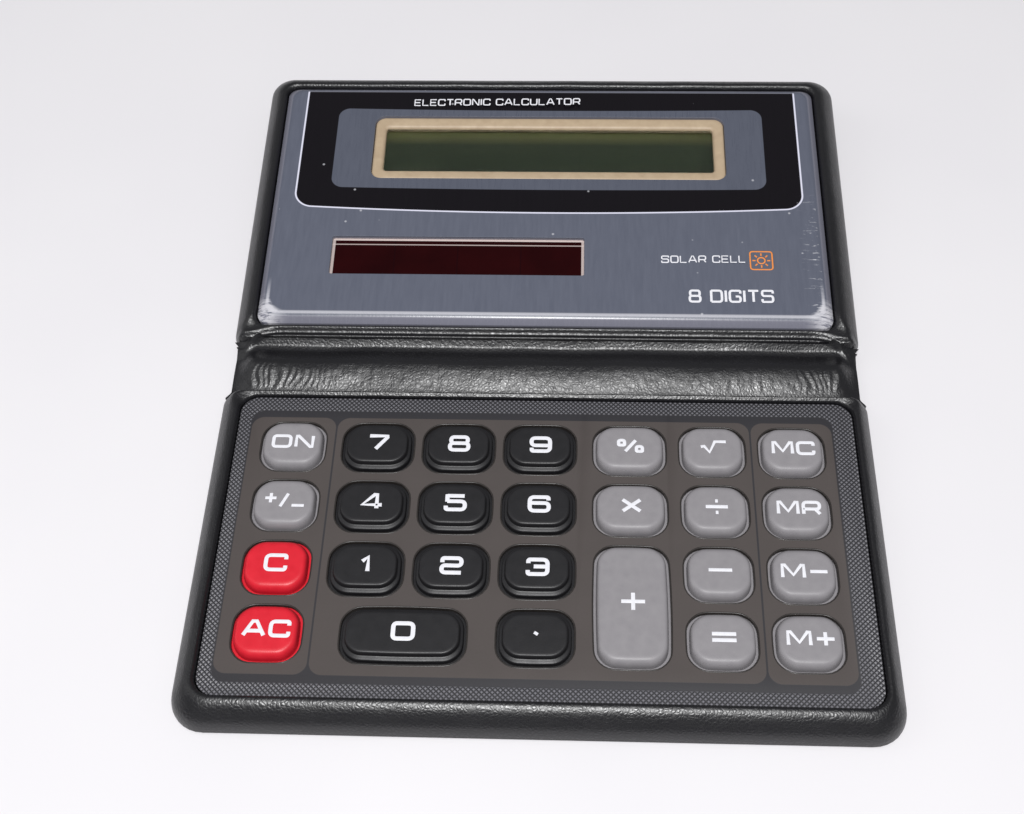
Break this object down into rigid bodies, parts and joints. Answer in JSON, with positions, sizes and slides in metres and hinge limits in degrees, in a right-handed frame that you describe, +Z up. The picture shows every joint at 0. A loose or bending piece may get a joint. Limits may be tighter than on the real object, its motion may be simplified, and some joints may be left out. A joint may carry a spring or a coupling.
{
  "type": "pocket calculator",
  "caption": "Folding solar pocket calculator in a soft black wallet cover: a thin keyboard half and a display half that close on a double-creased spine.",
  "frame": {"origin": "on the table, under the middle of the open calculator", "axes": "+X to the user's right, +Y away from the user towards the display half, +Z up"},
  "size_m": [0.091, 0.1106, 0.0082],
  "materials": {
    "vinyl": "black vinyl with a leather grain",
    "foam": "thin grey foam sheet",
    "steel": "plain sheet steel",
    "board": "green circuit board",
    "rubber": "grey silicone rubber",
    "key_panel": "brown-grey print on a dark sheet",
    "black_key": "satin black",
    "grey_key": "satin warm grey",
    "red_key": "satin red",
    "case": "black moulded",
    "face": "blue-grey satin print",
    "bezel": "satin beige",
    "pane": "clear pane",
    "polarizer": "dark olive film",
    "glass": "thin clear glass",
    "reflector": "satin reflector film",
    "resin": "black resin",
    "solar": "glossy dark red",
    "red_wire": "red insulation",
    "black_wire": "black insulation",
    "ribbon": "amber film with printed tracks"
  },
  "bodies": {
    "keyboard_half": {"keyboard_cover": "vinyl", "keyboard_rim": "vinyl", "keyboard_foam": "foam", "keyboard_back_plate": "steel", "keyboard_circuit": "board", "contact_mat": "rubber", "keyboard_panel": "key_panel"},
    "spine": {"spine_cover": "vinyl", "spine_liner": "vinyl", "ribbon_cable": "ribbon"},
    "display_half": {"display_cover": "vinyl", "display_rim": "vinyl", "display_foam": "foam", "display_back_case": "case", "display_front_case": "case", "face_panel": "face", "lcd_bezel": "bezel", "lcd_window": "pane", "lcd_polarizer": "polarizer", "lcd_front_glass": "glass", "lcd_rear_glass": "glass", "lcd_reflector": "reflector", "zebra_strip": "rubber", "main_board": "board", "processor_blob": "resin", "capacitor": "case", "solar_cell": "solar", "solar_wire_red": "red_wire", "solar_wire_black": "black_wire", "case_screw_1": "steel", "case_screw_2": "steel", "case_screw_3": "steel", "case_screw_4": "steel"},
    "key_on": {"key_on": "grey_key"},
    "key_sign": {"key_sign": "grey_key"},
    "key_c": {"key_c": "red_key"},
    "key_ac": {"key_ac": "red_key"},
    "key_7": {"key_7": "black_key"},
    "key_8": {"key_8": "black_key"},
    "key_9": {"key_9": "black_key"},
    "key_4": {"key_4": "black_key"},
    "key_5": {"key_5": "black_key"},
    "key_6": {"key_6": "black_key"},
    "key_1": {"key_1": "black_key"},
    "key_2": {"key_2": "black_key"},
    "key_3": {"key_3": "black_key"},
    "key_0": {"key_0": "black_key"},
    "key_point": {"key_point": "black_key"},
    "key_percent": {"key_percent": "grey_key"},
    "key_multiply": {"key_multiply": "grey_key"},
    "key_plus": {"key_plus": "grey_key"},
    "key_root": {"key_root": "grey_key"},
    "key_divide": {"key_divide": "grey_key"},
    "key_minus": {"key_minus": "grey_key"},
    "key_equals": {"key_equals": "grey_key"},
    "key_mc": {"key_mc": "grey_key"},
    "key_mr": {"key_mr": "grey_key"},
    "key_m_minus": {"key_m_minus": "grey_key"},
    "key_m_plus": {"key_m_plus": "grey_key"}
  },
  "joints": [
    {"name": "spine_fold", "type": "hinge", "parent": "keyboard_half", "child": "spine", "pos_m": [0, -0.00511, 0.0002], "axis": [1, 0, 0], "range_deg": [0, 90], "deforming": ["spine_liner", "ribbon_cable"]},
    {"name": "display_fold", "type": "hinge", "parent": "spine", "child": "display_half", "pos_m": [0, 0.00369, 0.0002], "axis": [1, 0, 0], "range_deg": [-4.4, 85.6], "deforming": ["spine_liner", "ribbon_cable"]},
    {"name": "key_on_press", "type": "slide", "parent": "keyboard_half", "child": "key_on", "axis": [0, 0, -1], "range_m": [0, 0.0006], "stiffness_N_per_m": 1200, "deforming": ["contact_mat"]},
    {"name": "key_sign_press", "type": "slide", "parent": "keyboard_half", "child": "key_sign", "axis": [0, 0, -1], "range_m": [0, 0.0006], "stiffness_N_per_m": 1200, "deforming": ["contact_mat"]},
    {"name": "key_c_press", "type": "slide", "parent": "keyboard_half", "child": "key_c", "axis": [0, 0, -1], "range_m": [0, 0.0006], "stiffness_N_per_m": 1200, "deforming": ["contact_mat"]},
    {"name": "key_ac_press", "type": "slide", "parent": "keyboard_half", "child": "key_ac", "axis": [0, 0, -1], "range_m": [0, 0.0006], "stiffness_N_per_m": 1200, "deforming": ["contact_mat"]},
    {"name": "key_7_press", "type": "slide", "parent": "keyboard_half", "child": "key_7", "axis": [0, 0, -1], "range_m": [0, 0.0006], "stiffness_N_per_m": 1200, "deforming": ["contact_mat"]},
    {"name": "key_8_press", "type": "slide", "parent": "keyboard_half", "child": "key_8", "axis": [0, 0, -1], "range_m": [0, 0.0006], "stiffness_N_per_m": 1200, "deforming": ["contact_mat"]},
    {"name": "key_9_press", "type": "slide", "parent": "keyboard_half", "child": "key_9", "axis": [0, 0, -1], "range_m": [0, 0.0006], "stiffness_N_per_m": 1200, "deforming": ["contact_mat"]},
    {"name": "key_4_press", "type": "slide", "parent": "keyboard_half", "child": "key_4", "axis": [0, 0, -1], "range_m": [0, 0.0006], "stiffness_N_per_m": 1200, "deforming": ["contact_mat"]},
    {"name": "key_5_press", "type": "slide", "parent": "keyboard_half", "child": "key_5", "axis": [0, 0, -1], "range_m": [0, 0.0006], "stiffness_N_per_m": 1200, "deforming": ["contact_mat"]},
    {"name": "key_6_press", "type": "slide", "parent": "keyboard_half", "child": "key_6", "axis": [0, 0, -1], "range_m": [0, 0.0006], "stiffness_N_per_m": 1200, "deforming": ["contact_mat"]},
    {"name": "key_1_press", "type": "slide", "parent": "keyboard_half", "child": "key_1", "axis": [0, 0, -1], "range_m": [0, 0.0006], "stiffness_N_per_m": 1200, "deforming": ["contact_mat"]},
    {"name": "key_2_press", "type": "slide", "parent": "keyboard_half", "child": "key_2", "axis": [0, 0, -1], "range_m": [0, 0.0006], "stiffness_N_per_m": 1200, "deforming": ["contact_mat"]},
    {"name": "key_3_press", "type": "slide", "parent": "keyboard_half", "child": "key_3", "axis": [0, 0, -1], "range_m": [0, 0.0006], "stiffness_N_per_m": 1200, "deforming": ["contact_mat"]},
    {"name": "key_0_press", "type": "slide", "parent": "keyboard_half", "child": "key_0", "axis": [0, 0, -1], "range_m": [0, 0.0006], "stiffness_N_per_m": 1200, "deforming": ["contact_mat"]},
    {"name": "key_point_press", "type": "slide", "parent": "keyboard_half", "child": "key_point", "axis": [0, 0, -1], "range_m": [0, 0.0006], "stiffness_N_per_m": 1200, "deforming": ["contact_mat"]},
    {"name": "key_percent_press", "type": "slide", "parent": "keyboard_half", "child": "key_percent", "axis": [0, 0, -1], "range_m": [0, 0.0006], "stiffness_N_per_m": 1200, "deforming": ["contact_mat"]},
    {"name": "key_multiply_press", "type": "slide", "parent": "keyboard_half", "child": "key_multiply", "axis": [0, 0, -1], "range_m": [0, 0.0006], "stiffness_N_per_m": 1200, "deforming": ["contact_mat"]},
    {"name": "key_plus_press", "type": "slide", "parent": "keyboard_half", "child": "key_plus", "axis": [0, 0, -1], "range_m": [0, 0.0006], "stiffness_N_per_m": 1200, "deforming": ["contact_mat"]},
    {"name": "key_root_press", "type": "slide", "parent": "keyboard_half", "child": "key_root", "axis": [0, 0, -1], "range_m": [0, 0.0006], "stiffness_N_per_m": 1200, "deforming": ["contact_mat"]},
    {"name": "key_divide_press", "type": "slide", "parent": "keyboard_half", "child": "key_divide", "axis": [0, 0, -1], "range_m": [0, 0.0006], "stiffness_N_per_m": 1200, "deforming": ["contact_mat"]},
    {"name": "key_minus_press", "type": "slide", "parent": "keyboard_half", "child": "key_minus", "axis": [0, 0, -1], "range_m": [0, 0.0006], "stiffness_N_per_m": 1200, "deforming": ["contact_mat"]},
    {"name": "key_equals_press", "type": "slide", "parent": "keyboard_half", "child": "key_equals", "axis": [0, 0, -1], "range_m": [0, 0.0006], "stiffness_N_per_m": 1200, "deforming": ["contact_mat"]},
    {"name": "key_mc_press", "type": "slide", "parent": "keyboard_half", "child": "key_mc", "axis": [0, 0, -1], "range_m": [0, 0.0006], "stiffness_N_per_m": 1200, "deforming": ["contact_mat"]},
    {"name": "key_mr_press", "type": "slide", "parent": "keyboard_half", "child": "key_mr", "axis": [0, 0, -1], "range_m": [0, 0.0006], "stiffness_N_per_m": 1200, "deforming": ["contact_mat"]},
    {"name": "key_m_minus_press", "type": "slide", "parent": "keyboard_half", "child": "key_m_minus", "axis": [0, 0, -1], "range_m": [0, 0.0006], "stiffness_N_per_m": 1200, "deforming": ["contact_mat"]},
    {"name": "key_m_plus_press", "type": "slide", "parent": "keyboard_half", "child": "key_m_plus", "axis": [0, 0, -1], "range_m": [0, 0.0006], "stiffness_N_per_m": 1200, "deforming": ["contact_mat"]}
  ]
}
